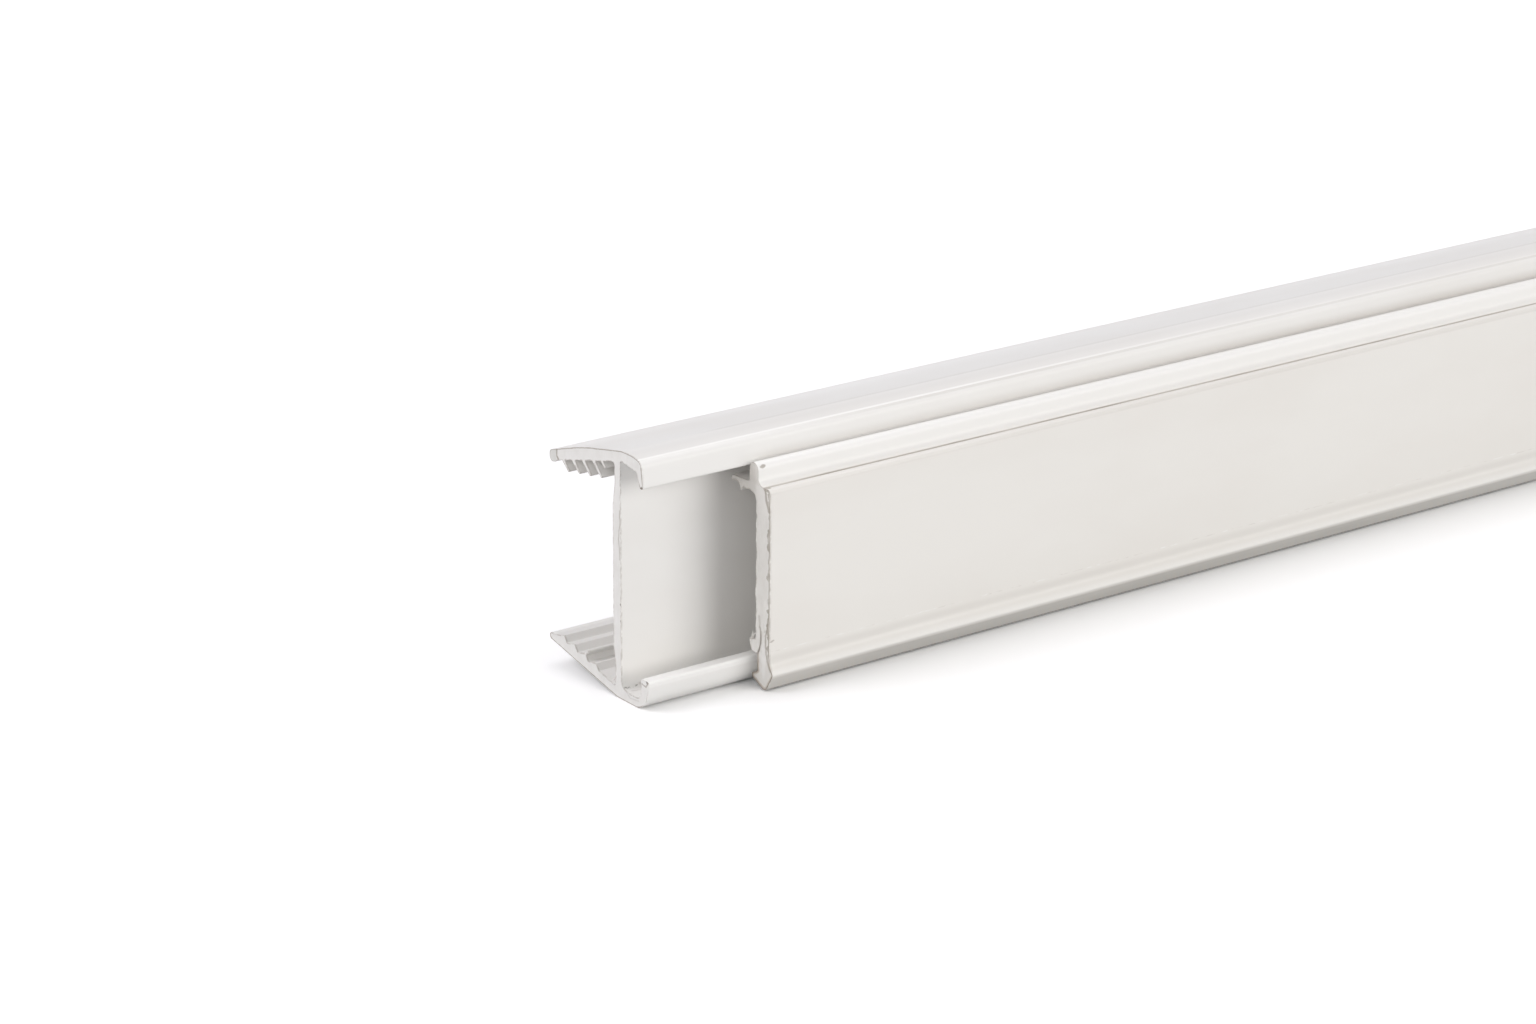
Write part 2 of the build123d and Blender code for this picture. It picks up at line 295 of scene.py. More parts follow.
class Tree:
    """A node tree that one method adds nodes to."""

    def __init__(self, tree):
        self.tree = tree

    def add(self, kind, settings=None, sockets=None, output=0):
        node = self.tree.nodes.new(kind)
        for name, value in (settings or {}).items():
            setattr(node, name, value)
        for name, value in (sockets or {}).items():
            socket = pick(node.inputs, name)
            if isinstance(value, Wire):
                self.tree.links.new(value.socket, socket)
            else:
                socket.default_value = value
        return Wire(self, pick(node.outputs, output)) if node.outputs else node

    def math(self, operation, *values):
        return self.add("ShaderNodeMath", {"operation": operation}, dict(enumerate(values)))

    def vector(self, operation, *values, output=0):
        sockets = dict(enumerate(values))
        return self.add("ShaderNodeVectorMath", {"operation": operation}, sockets, output)

    def scale(self, value, factor):
        sockets = {0: value, "Scale": factor}
        return self.add("ShaderNodeVectorMath", {"operation": "SCALE"}, sockets)

    def split(self, value):
        """The X, Y and Z of a vector."""
        parts = self.add("ShaderNodeSeparateXYZ", None, {0: value})
        return [parts.out(axis) for axis in "XYZ"]

    def mix(self, factor, a, b):
        sockets = {"Factor": factor, "A": a, "B": b}
        return self.add("ShaderNodeMix", {"data_type": "RGBA"}, sockets, "Result")

    def noise(self, place, size, detail, seed, stretch=(1.0, 1.0, 1.0)):
        """Soft noise around 0.5 whose lumps are size millimetres across, times stretch."""
        scaled = self.vector("MULTIPLY", place, tuple(1.0 / (size * s) for s in stretch))
        sockets = {"Vector": scaled, "W": seed, "Scale": 1.0, "Detail": detail, "Roughness": 0.55}
        return self.add("ShaderNodeTexNoise", {"noise_dimensions": "4D"}, sockets)

    def wander(self, place, size, amount, seed):
        """The place shifted about at random, so that what is drawn by it comes out ragged."""
        sockets = {"Vector": self.scale(place, 1.0 / size), "W": seed, "Scale": 1.0, "Detail": 3.0}
        shift = self.add("ShaderNodeTexNoise", {"noise_dimensions": "4D"}, sockets, "Color")
        shift = self.vector("SUBTRACT", shift, (0.5, 0.5, 0.5))
        return self.vector("ADD", place, self.scale(shift, amount))

    def spot(self, place, centre, radii):
        """A blot: 1 in the middle of an ellipsoid and 0 outside it."""
        away = self.vector("DIVIDE", self.vector("SUBTRACT", place, centre), radii)
        return self.vector("LENGTH", away, output="Value").below(0.5, 1.0)

    def line(self, place, points, width):
        """A line through points: 1 along its middle and 0 beyond its width."""
        nearest = None
        for start, end in zip(points, points[1:]):
            run = Vector(end) - Vector(start)
            away = self.vector("SUBTRACT", place, start)
            along = self.vector("DOT_PRODUCT", away, tuple(run), output="Value")
            along = self.add("ShaderNodeClamp", None, {"Value": along / run.length_squared})
            away = self.vector("DISTANCE", away, self.scale(tuple(run), along), output="Value")
            nearest = away if nearest is None else self.math("MINIMUM", away, nearest)
        return nearest.below(width * 0.35, width)


def extrusion_tree():
    """Rounds a section's corners, draws it out along X and roughens its sawn ends."""
    group = bpy.data.node_groups.new("drawn_profile", "GeometryNodeTree")
    face = group.interface
    face.new_socket("Geometry", in_out="OUTPUT", socket_type="NodeSocketGeometry")
    face.new_socket("Section", in_out="INPUT", socket_type="NodeSocketGeometry")
    for name, kind, value in (
        ("Start", "NodeSocketFloat", 0.0),
        ("Length", "NodeSocketFloat", 0.2),
        ("Rings", "NodeSocketInt", 40),
        ("Corner Steps", "NodeSocketInt", 7),
        ("Spacing", "NodeSocketFloat", 0.0003),
        ("Burr", "NodeSocketFloat", 0.00002),
        ("Burr Depth", "NodeSocketFloat", 0.0004),
        ("Burr Seed", "NodeSocketFloat", 0.0),
        ("Skin", "NodeSocketMaterial", None),
    ):
        socket = face.new_socket(name, in_out="INPUT", socket_type=kind)
        if value is not None:
            socket.default_value = value
    nodes = Tree(group)
    given = nodes.add("NodeGroupInput")

    # The section is laid flat, rounded, and cut fine enough for the burr to show.
    _, y, z = nodes.split(nodes.add("GeometryNodeInputPosition"))
    flat = nodes.add("ShaderNodeCombineXYZ", None, {0: 0 - y, 1: 0 - z})
    sockets = {"Geometry": given.out("Section"), "Position": flat}
    outline = nodes.add("GeometryNodeSetPosition", None, sockets)
    outline = nodes.add("GeometryNodeMeshToCurve", None, {"Mesh": outline})
    radius = nodes.add("GeometryNodeInputNamedAttribute", {"data_type": "FLOAT"}, {"Name": "corner_radius"})
    sockets = {"Curve": outline, "Radius": radius, "Limit Radius": True, "Count": given.out("Corner Steps")}
    outline = nodes.add("GeometryNodeFilletCurve", {"mode": "POLY"}, sockets)
    here = nodes.add("GeometryNodeInputPosition")
    following = nodes.add("GeometryNodeOffsetPointInCurve", None, {"Offset": 1}, "Point Index")
    sockets = {"Index": following, "Value": here}
    there = nodes.add("GeometryNodeFieldAtIndex", {"data_type": "FLOAT_VECTOR"}, sockets)
    gap = nodes.vector("DISTANCE", here, there, output="Value")
    sockets = {"Curve": outline, "Cuts": gap / given.out("Spacing")}
    outline = nodes.add("GeometryNodeSubdivideCurve", None, sockets)

    # The rings that it is drawn through crowd towards both ends.
    path = nodes.add("GeometryNodeCurvePrimitiveLine", None, {"End": (1.0, 0.0, 0.0)})
    path = nodes.add("GeometryNodeResampleCurve", None, {"Curve": path, "Count": given.out("Rings")})
    along = nodes.add("GeometryNodeSplineParameter", None, None, "Factor")
    along = nodes.add("ShaderNodeMapRange", {"interpolation_type": "SMOOTHERSTEP"}, {"Value": along})
    along = nodes.add("ShaderNodeCombineXYZ", None, {0: given.out("Start") + along * given.out("Length")})
    path = nodes.add("GeometryNodeSetPosition", None, {"Geometry": path, "Position": along})
    sockets = {"Curve": path, "Profile Curve": outline, "Fill Caps": True}
    body = nodes.add("GeometryNodeCurveToMesh", None, sockets)

    # Near a cut the skin is pushed in and out by noise.
    near = nodes.split(nodes.add("GeometryNodeInputPosition"))[0] - given.out("Start")
    end = nodes.math("MINIMUM", near, given.out("Length") - near)
    normal = nodes.vector("MULTIPLY", nodes.add("GeometryNodeInputNormal"), (0.0, 1.0, 1.0))
    normal = nodes.vector("NORMALIZE", normal)
    sockets = {"W": given.out("Burr Seed"), "Scale": 700.0, "Detail": 4.0, "Roughness": 0.6}
    grain = nodes.add("ShaderNodeTexNoise", {"noise_dimensions": "4D"}, sockets)
    loose = nodes.add("GeometryNodeInputNamedAttribute", {"data_type": "FLOAT"}, {"Name": "burr"})
    push = (grain - 0.5) * 2.0 * end.below(0.0, given.out("Burr Depth")) * loose * given.out("Burr")
    sockets = {"Geometry": body, "Offset": nodes.scale(normal, push)}
    body = nodes.add("GeometryNodeSetPosition", None, sockets)
    body = nodes.add("GeometryNodeRealizeInstances", None, {"Geometry": body})
    body = nodes.add("GeometryNodeSetMaterial", None, {"Geometry": body, "Material": given.out("Skin")})
    nodes.add("NodeGroupOutput", None, {"Geometry": body})
    return group


profile_tree = extrusion_tree()
GRAIN = 0.2  # how far apart the corners inside a cut face lie, in millimetres
CAP_CORNERS = 50  # a face with more corners than this is a cut end
SHARP = math.radians(32)  # a steeper fold than this stays a sharp edge


def within(points, ring):
    """Which of the points (y, z) lie inside the closed ring."""
    y, z = np.array(points).T[:, :, None]
    a = np.array(ring)[None]
    b = np.roll(a, -1, axis=1)
    spans = (a[..., 1] > z) != (b[..., 1] > z)
    rise = np.where(b[..., 1] == a[..., 1], 1.0, b[..., 1] - a[..., 1])
    reach = a[..., 0] + (z - a[..., 1]) * (b[..., 0] - a[..., 0]) / rise
    return (spans & (y < reach)).sum(1) % 2 == 1


def edge_search(outline):
    """A search tree that tells how far a place on a cut face is from the face's outline."""
    count = len(outline)
    edge = kdtree.KDTree(count * 3)
    for i, here in enumerate(outline):
        for j in range(3):
            on = here + (outline[(i + 1) % count] - here) * j / 3
            edge.insert((*on, 0), i * 3 + j)
    edge.balance()
    return edge


def saw_ends(mesh, relief, seed):
    """Gives each cut end a fine face with saw relief, and each point its depth from the edge."""
    work = bmesh.new()
    work.from_mesh(mesh)
    bmesh.ops.remove_doubles(work, verts=work.verts, dist=1e-6)
    bmesh.ops.recalc_face_normals(work, faces=work.faces)
    depth = work.verts.layers.float.new("edge_depth")
    dice = np.random.default_rng(seed)
    for cap in [f for f in work.faces if len(f.verts) > CAP_CORNERS]:
        ring = list(cap.verts)
        x = ring[0].co.x
        inward = -math.copysign(1.0, cap.normal.x)
        outline = np.array([(v.co.y, v.co.z) for v in ring]) * 1000
        count = len(outline)
        edge = edge_search(outline)
        low, high = outline.min(0), outline.max(0)
        across, up = np.meshgrid(np.arange(low[0], high[0], GRAIN), np.arange(low[1], high[1], GRAIN))
        grid = np.stack([across.ravel(), up.ravel()], 1)
        grid += dice.uniform(-0.3, 0.3, grid.shape) * GRAIN
        grid = grid[within(grid, outline)]
        inner = [p for p in grid if edge.find((*p, 0))[2] > GRAIN * 0.4]
        points = [Vector(p) for p in (*outline, *inner)]
        rim = [(i, (i + 1) % count) for i in range(count)]
        points, _, faces, source, _, _ = geometry.delaunay_2d_cdt(points, rim, [], 1, 1e-6, True)
        centres = [sum((points[k] for k in face), Vector((0, 0))) / 3 for face in faces]
        kept = within(centres, outline)
        made = {k: ring[min(old)] for k, old in enumerate(source) if old and min(old) < count}
        work.faces.remove(cap)
        for face, inside in zip(faces, kept):
            if not inside:
                continue
            for k in face:
                if k not in made:
                    y, z = points[k]
                    away = edge.find((y, z, 0))[2]
                    # The blade's marks run slantwise, and fade out at the rim.
                    marks = noise.noise(Vector((y * 0.9 + z * 0.5, z * 1.7 - y * 2.6, seed)))
                    sunk = relief * min(1.0, away / GRAIN) * (0.5 + 0.5 * marks)
                    made[k] = work.verts.new((x + inward * sunk, y / 1000, z / 1000))
                    made[k][depth] = away
            corners = [made[k] for k in face]
            if len(set(corners)) == 3:
                work.faces.new(corners).material_index = 1
    bmesh.ops.recalc_face_normals(work, faces=work.faces)
    work.to_mesh(mesh)
    work.free()


def add_whiskers(mesh, whiskers):
    """Adds slivers of torn plastic: rows of root, tip, sag and width in millimetres."""
    rings_each = 6
    work = bmesh.new()
    work.from_mesh(mesh)
    for root, tip, sag, width in whiskers:
        root, tip, sag = (Vector(v) / 1000 for v in (root, tip, sag))
        side = (tip - root).cross(Vector((0.3, 0.8, -0.5))).normalized()
        other = (tip - root).cross(side).normalized()
        rings = []
        for step in range(rings_each):
            part = step / rings_each
            middle = root.lerp(tip, part) + sag * 4 * part * (1 - part)
            half = width / 2000 * (1 - part) ** 0.7
            corners = [(math.cos(turn), math.sin(turn)) for turn in (0.0, 2.1, 4.2)]
            ring = [work.verts.new(middle + (side * c + other * s * 0.4) * half) for c, s in corners]
            rings.append(ring)
        point = work.verts.new(tip)
        for low, high in zip(rings, rings[1:]):
            for i in range(3):
                work.faces.new((low[i], low[i - 2], high[i - 2], high[i])).material_index = 1
        for i in range(3):
            work.faces.new((rings[-1][i], rings[-1][i - 2], point)).material_index = 1
        work.faces.new(rings[0][::-1]).material_index = 1
    bmesh.ops.recalc_face_normals(work, faces=work.faces)
    work.to_mesh(mesh)
    work.free()


def drawn_out(name, corners, node, seed, finishes, relief, burr, whiskers):
    """Plain mesh of a section drawn out over a CAD node's length, with its ends sawn.

    The relief of its cut faces and the burr round them are in metres.
    """
    low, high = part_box(node)
    mesh = bpy.data.meshes.new(name + "_section")
    rows = [(*row, 1.0)[:4] for row in corners]
    places = [(0, y / 1000, z / 1000) for y, z, _, _ in rows]
    mesh.from_pydata(places, [(i, (i + 1) % len(rows)) for i in range(len(rows))], [])
    radius = mesh.attributes.new("corner_radius", "FLOAT", "POINT")
    radius.data.foreach_set("value", [row[2] / 1000 for row in rows])
    looseness = mesh.attributes.new("burr", "FLOAT", "POINT")
    looseness.data.foreach_set("value", [row[3] for row in rows])
    piece = bpy.data.objects.new(name, mesh)
    bpy.context.scene.collection.objects.link(piece)
    modifier = piece.modifiers.new("profile", "NODES")
    modifier.node_group = profile_tree
    skin, sawn = finishes
    inputs = {"Start": low[0], "Length": high[0] - low[0], "Burr": burr, "Burr Seed": seed, "Skin": skin}
    for item in profile_tree.interface.items_tree:
        if item.in_out == "INPUT" and item.name in inputs:
            modifier[item.identifier] = inputs[item.name]
    graph = bpy.context.evaluated_depsgraph_get()
    made = bpy.data.meshes.new_from_object(piece.evaluated_get(graph), depsgraph=graph)
    piece.modifiers.clear()
    piece.data = made
    made.name = name
    made.materials.append(sawn)
    saw_ends(made, relief, seed)
    add_whiskers(made, whiskers)
    made.shade_smooth()
    made.set_sharp_from_angle(angle=SHARP)
    return piece


class Finish(Tree):
    """A finish as it is built up: colour, roughness and relief, by place in millimetres."""

    def __init__(self, name, node, base):
        self.material = bpy.data.materials.new(name)
        self.material.use_nodes = True
        super().__init__(self.material.node_tree)
        self.place = self.scale(self.add("ShaderNodeTexCoord", None, None, "Object"), 1000.0)
        self.x, self.y, self.z = self.split(self.place)
        low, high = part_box(node)
        along = self.x - (low[0] + high[0]) * 500
        self.end = (high[0] - low[0]) * 500 - self.math("ABSOLUTE", along)
        self.end_place = self.add("ShaderNodeCombineXYZ", None, {0: self.end, 1: self.y, 2: self.z})
        self.depth = self.add("ShaderNodeAttribute", {"attribute_name": "edge_depth"}, None, "Fac")
        self.base = base

    # Mixes a colour in by the mask: real stains and dirt, and painted light and shade alike.
    def stain(self, mask, colour):
        self.base = self.mix(mask, self.base, colour)

    def closed(self, relief):
        """Feeds the finish to its shader; relief is how high the height's 1 stands, in mm."""
        settings = {"Strength": 1.0, "Distance": relief / 1000, "Height": self.height}
        bump = self.add("ShaderNodeBump", None, settings)
        shader = self.tree.nodes["Principled BSDF"]
        for name, value in (("Base Color", self.base), ("Roughness", self.rough), ("Normal", bump)):
            self.tree.links.new(value.socket, pick(shader.inputs, name))
        return self.material


# Dark grime on the cut ends, also used as painted shade in the channel's corner and along the cover's
# bottom edge.
GRIME_AND_SHADE = (0.13, 0.105, 0.08, 1.0)
TAUPE = (0.33, 0.285, 0.24, 1.0)
GREY_FLAW = (0.62, 0.62, 0.59, 1.0)
CHALK = (0.90, 0.89, 0.87, 1.0)
PALE = (0.945, 0.935, 0.915, 1.0)
RAIL_WHITE = (0.895, 0.885, 0.865, 1.0)
RAIL_TONE = (0.87, 0.855, 0.83, 1.0)
RAIL_CORE = (0.84, 0.825, 0.80, 1.0)
RAIL_CORE_TONE = (0.77, 0.75, 0.72, 1.0)


def extruded(name, node, colour, tone, seed):
    """PVC skin as the die leaves it: satin, uneven in tone, with lines along the track."""
    skin = Finish(name, node, colour)
    cloud = skin.noise(skin.place, 12.0, 3.0, seed, (2.5, 1.0, 1.0))
    lines = skin.noise(skin.place, 0.45, 2.0, seed + 3, (300.0, 1.0, 1.0))
    peel = skin.noise(skin.place, 1.5, 2.0, seed + 5, (3.0, 1.0, 1.0))
    skin.stain(cloud.above(0.35, 0.65), tone)
    skin.stain(lines.above(0.6, 0.8) * 0.3, tone)
    skin.rough = 0.36 + (cloud - 0.5) * 0.12 + (lines - 0.5) * 0.1
    skin.height = lines * 0.5 + peel * 0.5
    # Painted shade: patches of the skin right at each sawn end are darkened, standing for the shadow of the
    # burr there.
    rim_noise = skin.noise(skin.place, 0.8, 3.0, seed + 7)
    skin.stain(skin.end.below(0.02, 0.1 + rim_noise * 0.25) * rim_noise.above(0.35, 0.6) * 0.45, TAUPE)
    return skin


def sawn(name, node, core, tone, seed):
    """PVC as the saw leaves it: dull, smeared in patches, and darkened at its rim by painted shade of the
    burr.
    """
    cut = Finish(name, node, core)
    patches = cut.noise(cut.place, 1.1, 3.0, seed, (1.0, 1.0, 1.6))
    smears = cut.noise(cut.place, 0.22, 2.0, seed + 2, (1.0, 1.0, 6.0))
    rim_noise = cut.noise(cut.place, 0.7, 3.0, seed + 4)
    cut.stain(patches.above(0.35, 0.7) * 0.5, tone)
    cut.stain(smears.above(0.55, 0.75) * 0.45, CHALK)
    # Painted shade: a darker rim round the cut face, for the burr's shadow.
    cut.rim = cut.depth.below(0.03, 0.09 + rim_noise * 0.1)
    cut.stain(cut.rim * rim_noise.above(0.4, 0.6) * 0.5, TAUPE)
    cut.rough = 0.6 + (patches - 0.5) * 0.2
    cut.height = smears * 0.6 + patches * 0.4
    return cut


def rail_skin():
    """The rail's drawn faces: painted highlights on the J-lip, the lip's near end and the crown, and
    painted shade in the channel, between the jaws, behind the cover and on the lip.
    """
    skin = extruded("rail_skin", "clip_rail", RAIL_WHITE, RAIL_TONE, 1)
    x, y, z = skin.x, skin.y, skin.z
    farther = x.above(-70.0, -10.0)
    covered = x.above(-90.0, -84.0)

    # Painted shade in the channel's corner at the near end: a dark line where web and floor meet, and a
    # fainter one on the floor.
    ragged = skin.wander(skin.place, 0.5, 0.5, 4.0)
    corner = [(-99.8, -0.3, 1.1), (-99.1, -0.35, 1.05), (-98.4, -0.25, 1.1)]
    skin.stain(skin.line(ragged, corner, 0.17) * 0.75, GRIME_AND_SHADE)
    skin.stain(skin.line(ragged, [(-99.3, -0.9, 1.0), (-98.1, -1.2, 1.0)], 0.15) * 0.3, TAUPE)

    # Painted shade between the jaws, on their toothed faces, and on the web behind the cover.
    lower_face = (z - y * math.tan(LOWER_TOE_IN)).below(2.2, 2.9)
    upper_rise = z + y * math.tan(UPPER_TOE_IN)
    upper_face = upper_rise.above(21.0, 22.0) * upper_rise.below(24.4, 24.6)
    toothed = skin.math("MAXIMUM", lower_face, upper_face)
    skin.stain(y.above(1.2, 2.2) * y.below(11.2, 12.0) * toothed * 0.13, TAUPE)
    web_front = y.above(-0.4, -0.2) * y.below(0.1, 0.3)
    skin.stain(web_front * x.above(-91.5, -88.0) * 0.12, TAUPE)

    # Painted highlights make the J-lip and the near end of the hanging lip paler. Further on the lip is
    # darkened by painted shade, most of all just above the cover's bead.
    proud = y.below(-3.5, -3.2)
    lip_face = proud * z.above(21.5, 22.0)
    skin.stain(proud * z.below(4.0, 5.0) * 0.9, PALE)
    skin.stain(lip_face * z.below(24.0, 24.4) * x.below(-91.0, -84.0) * 0.45, PALE)
    over_bead = lip_face * z.above(22.5, 22.8) * z.below(22.7, 23.9) * covered
    lip_shade = lip_face * (0.04 + farther * 0.05) + over_bead * (0.24 + farther * 0.08)
    skin.stain(lip_shade, TAUPE)

    # Along the crown: a band of painted shade that dulls its highlight, a dark line painted as the shade of
    # the small step the die left, and a painted highlight above it.
    crown = y.below(-2.4, 0.0) * y.above(-3.3, -2.8) * z.above(24.2, 24.5)
    die_line = skin.line(skin.place, [(-100.0, -3.16, 24.9), (100.0, -3.16, 24.9)], 0.22)
    skin.stain(crown * 0.12 + die_line * x.above(-92.0, -62.0) * 0.22, TAUPE)
    shine = skin.line(skin.place, [(-100.0, -2.88, 25.03), (-10.0, -2.88, 25.03)], 0.16)
    skin.stain(shine * (1 - farther) * 0.9, PALE)

    # Painted shade along the foot of the web, in its corner with the channel floor, patchy along the track.
    patchiness = skin.noise(skin.place, 2.0, 3.0, 9.0, (6.0, 1.0, 1.0))
    foot = skin.line(skin.place, [(-98.0, -0.15, 1.15), (100.0, -0.15, 1.15)], 0.3)
    skin.stain(foot * (0.1 + patchiness * 0.5), TAUPE)
    return skin.closed(0.006)


def rail_sawn():
    """The rail's cut ends: painted shade along the outer edges for the burr's shadow and, underneath, the
    floor's contact shadow and grime, with bruises and specks of grime.
    """
    cut = sawn("rail_sawn", "clip_rail", RAIL_CORE, RAIL_CORE_TONE, 11)
    ragged = cut.wander(cut.end_place, 0.6, 0.22, 5.0)
    top_edge = [(11.4, 22.3), (6.1, 23.85), (0.7, 24.95), (-1.8, 25.15), (-3.4, 24.7), (-3.7, 22.4)]
    under_edge = [(12.2, 2.5), (0.6, 0.0), (-3.2, 0.0)]
    # Painted shade along the cut face's top edge, and painted shade with some grime along its underside.
    for edge in (top_edge, under_edge):
        edge_shade = cut.line(cut.end_place, [(0, y, z) for y, z in edge], 0.9)
        cut.stain(cut.rim * edge_shade * 0.8, TAUPE)
    streaks = [  # places (y, z) along the mark, its width and its strength
        ([(10.68, 22.4), (10.7, 21.7), (10.2, 21.3), (10.9, 21.0)], 0.17, 0.8),
        ([(0.17, 19.1), (0.1, 17.8), (0.3, 17.0), (0.36, 16.2), (0.2, 15.2), (0.13, 14.2)], 0.13, 0.45),
        ([(-3.45, 2.7), (-4.1, 2.6), (-4.55, 3.1)], 0.12, 0.6),
        ([(3.6, 3.3), (2.4, 3.75)], 0.14, 0.55),
        ([(-3.45, 24.35), (-3.7, 23.0)], 0.17, 0.8),
        ([(-0.5, 1.3), (-1.4, 0.6), (-2.9, 0.7)], 0.12, 0.2),
    ]
    for mark, width, strength in streaks:
        cut.stain(cut.line(ragged, [(0, y, z) for y, z in mark], width) * strength, TAUPE)
    specks = [  # y, z and radius
        (0.0, 9.7, 0.18),
        (0.0, 8.0, 0.15),
        (-0.12, 4.2, 0.2),
        (-3.55, 22.35, 0.3),
        (-4.3, 3.05, 0.2),
    ]
    for y, z, radius in specks:
        cut.stain(cut.spot(ragged, (0, y, z), (radius, radius, radius)) * 0.7, GRIME_AND_SHADE)
    cut.stain(cut.y.above(10.65, 10.85) * cut.z.above(19.0, 20.0) * 0.5, GREY_FLAW)
    return cut.closed(0.04)


rail_whiskers = [
    ((-99.75, 4.5, 23.0), (-99.5, 3.7, 22.2), (0.0, 0.15, -0.1), 0.3),
    ((-99.75, 3.9, 23.2), (-99.5, 3.9, 22.5), (0.0, -0.15, 0.0), 0.25),
    ((-99.75, 1.7, 1.4), (-99.4, 0.9, 1.9), (0.0, 0.0, 0.15), 0.25),
    ((99.75, 5.6, 23.0), (99.5, 4.9, 22.1), (0.0, 0.15, 0.0), 0.3),
]
rail = drawn_out(
    "clip_rail_profile",
    rail_corners,
    "clip_rail",
    seed=1,
    finishes=(rail_skin(), rail_sawn()),
    relief=0.00003,
    burr=0.00008,
    whiskers=rail_whiskers,
)
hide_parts("clip_rail")
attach(rail, "rail")

# The sliding cover: a second PVC extrusion, of a slightly warmer white. It hooks over the
# rail's lip with its bead and arm, snaps behind the J-lip with a springy finger, and
# slides along the rail. The saw left its cut end rougher than the rail's.
BEAD_REAR = LIP_OUT + 0.15
BEAD = 1.4
BEAD_UP = 0.55
BEAD_TALL = 2.15
BEAD_ROUND = 0.686
BEAD_FOOT_ROUND = 0.75
ARM_CLEAR = 1.55
ARM = 0.65
ARM_REACH = 0.9
ARM_ROUND = (0.2, 0.3)
PANEL_REAR = j_lip_face + J_BEAD + 0.4
PANEL = 2.2
PANEL_TOP_ROUND = 0.4
PANEL_REAR_ROUND = 0.85
GROOVE_OUT = 0.9
GROOVE_HALF = 0.15
GROOVE_DEEP = 0.2
GROOVE_ROUND = 0.04
BARB = 2.55
BARB_TALL = 0.4
BARB_RAMP = 0.45
BARB_ROUND = (0.12, 0.06)
BARB_CLEAR = 0.25
HOOK_UNDER = J_LIP_TALL + 0.45
HOOK_TIP = j_lip_face + J_BEAD - 0.7
HOOK_TALL = 1.2
HOOK_ROUND = 0.12
NECK_REAR = PANEL_REAR + 0.3
NECK_ROUND = 0.3
TOE_TIP = j_lip_face + 0.5
TOE_TALL = 1.4
TOE_EDGE = 0.4
TOE_ROUND = 0.13
FLARE_TALL = 1.0
FLARE_ROUND = 1.2
NOSE_OUT = 0.58
NOSE_TALL = 2.0
NOSE_ROUND = 0.27
FOOT_CLEAR = 0.15
FOOT_FRONT = 6.65
FOOT_REAR = 6.15
FOOT_ROUND = 0.35
SLIT = (  # its middle line's start, bend and end, from the neck's top, and half the way across
    (0.0, -0.1, -0.045, -0.028),
    (-0.877, 1.323, -0.058, -0.006),
    (-0.32, 2.9, -0.05, 0.018),
)
SLIT_BEND = 3.5
COVER_WHITE = (0.88, 0.86, 0.823, 1.0)
COVER_TONE = (0.86, 0.835, 0.795, 1.0)
COVER_CORE = (0.83, 0.81, 0.775, 1.0)
COVER_CORE_TONE = (0.74, 0.715, 0.68, 1.0)
BEAD_WHITE = (0.91, 0.90, 0.88, 1.0)
BEVEL_SHADE = (0.30, 0.295, 0.27, 1.0)
SMUDGE = (0.39, 0.355, 0.305, 1.0)
DARK_SMUDGE = (0.24, 0.195, 0.155, 1.0)
FOOT_SMUDGE = (0.42, 0.34, 0.27, 1.0)
bead_front = BEAD_REAR + BEAD
bead_top = lip_tip + BEAD_UP
arm_top = lip_tip - ARM_CLEAR
arm_under = arm_top - ARM
barb_level = arm_under - BARB_CLEAR
panel_front = PANEL_REAR + PANEL
panel_top = bead_top - BEAD_TALL
groove = bead_front + GROOVE_OUT
hook_top = HOOK_UNDER + HOOK_TALL


def slit_wall(side):
    """Front (1) or rear (-1) wall of the curved slit that frees the snap finger."""
    rows = []
    for (y, z, across_y, across_z), bend in zip(SLIT, (0, SLIT_BEND + side * 0.1, 0)):
        rows.append((y - NECK_REAR + side * across_y, z + HOOK_UNDER + side * across_z, bend, 0.03))
    return rows


